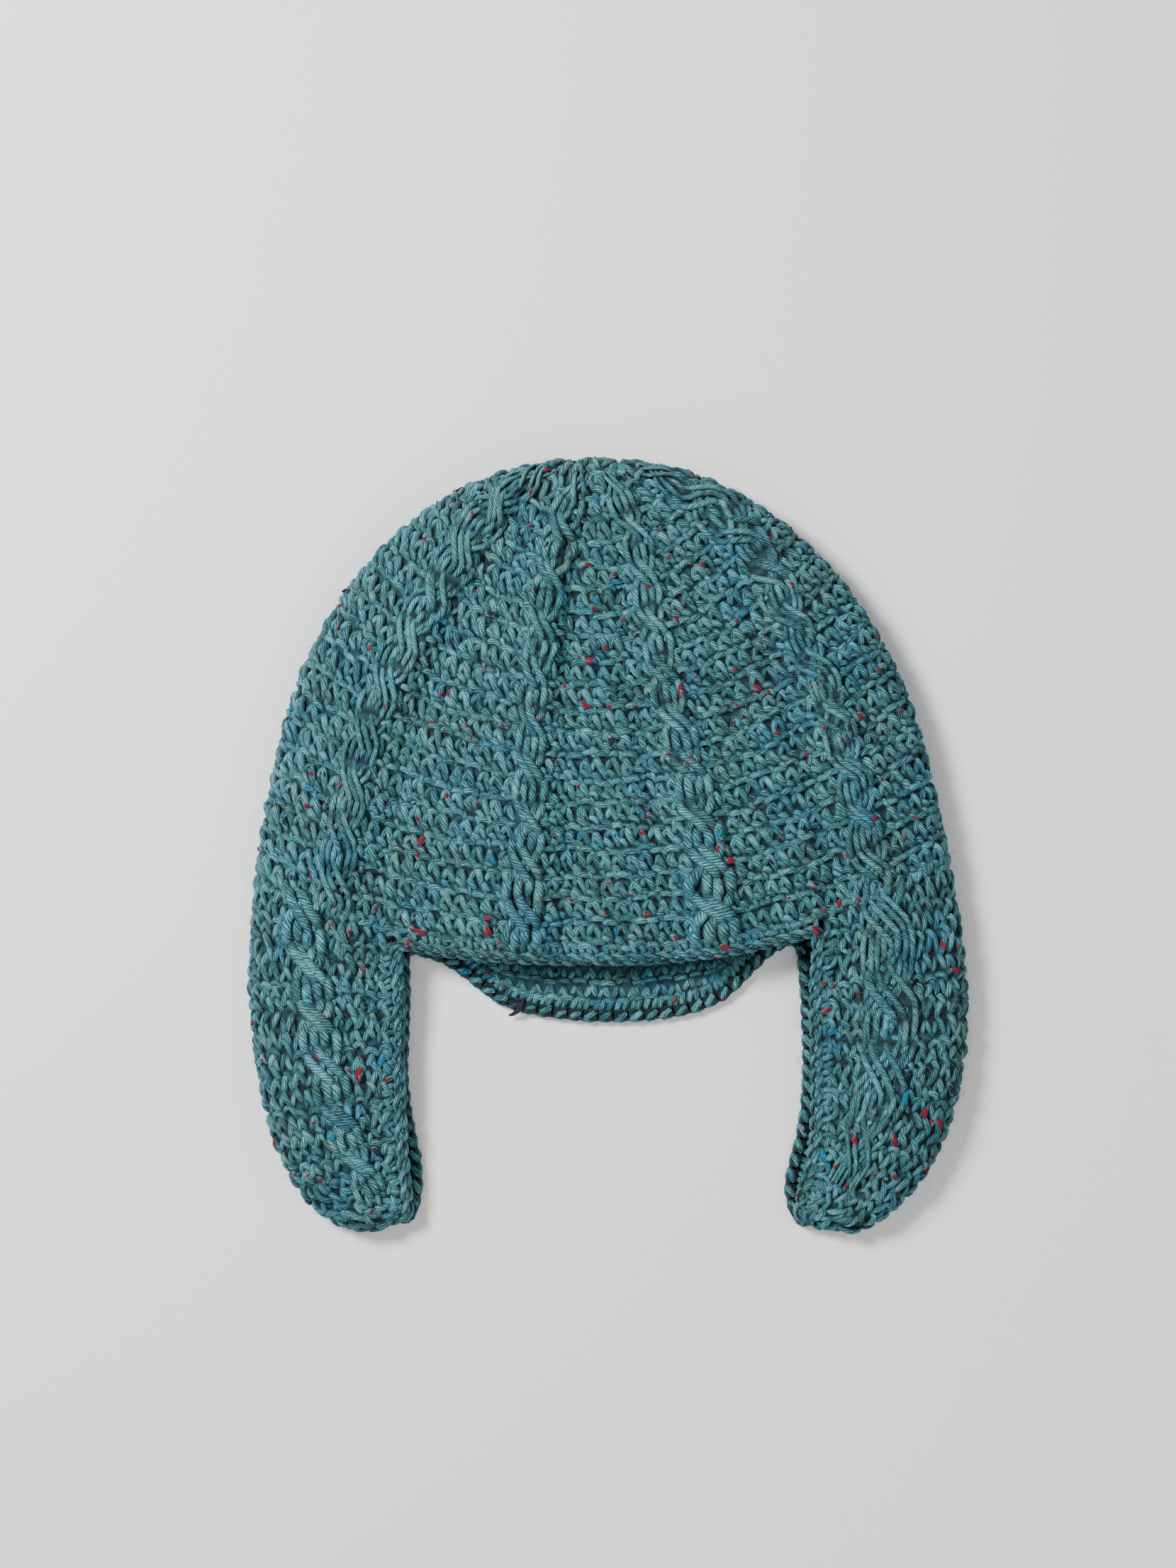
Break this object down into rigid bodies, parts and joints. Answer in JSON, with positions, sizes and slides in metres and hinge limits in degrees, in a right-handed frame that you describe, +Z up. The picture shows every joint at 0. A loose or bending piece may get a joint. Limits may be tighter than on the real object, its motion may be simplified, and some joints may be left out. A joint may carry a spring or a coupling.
{
  "type": "cable knit earflap cap",
  "caption": "Crocheted wool cap with raised cable ribs, folded earflaps, a short neck flap and a chain-stitch edging, laid flat on its back.",
  "frame": {"origin": "on the floor under the middle of the cap as it lies flat", "axes": "+Y from the earflap tips to the crown centre, +Z up off the floor out of the cap's front, +X to the right of someone looking down on its front"},
  "size_m": [0.2798, 0.3017, 0.0317],
  "materials": {
    "yarn": "matte plied wool with small crimson, navy and turquoise flecks"
  },
  "bodies": {
    "root": {"crown": "yarn", "cable_front_1": "yarn", "cable_front_2": "yarn", "cable_front_3": "yarn", "cable_front_4": "yarn", "cable_back_1": "yarn", "cable_back_2": "yarn", "cable_back_3": "yarn", "cable_back_4": "yarn", "earflap_left": "yarn", "earflap_right": "yarn", "cable_left_flap_front": "yarn", "cable_left_flap_back": "yarn", "cable_right_flap_front": "yarn", "cable_right_flap_back": "yarn", "neck_flap": "yarn", "edging": "yarn"}
  },
  "joints": []
}
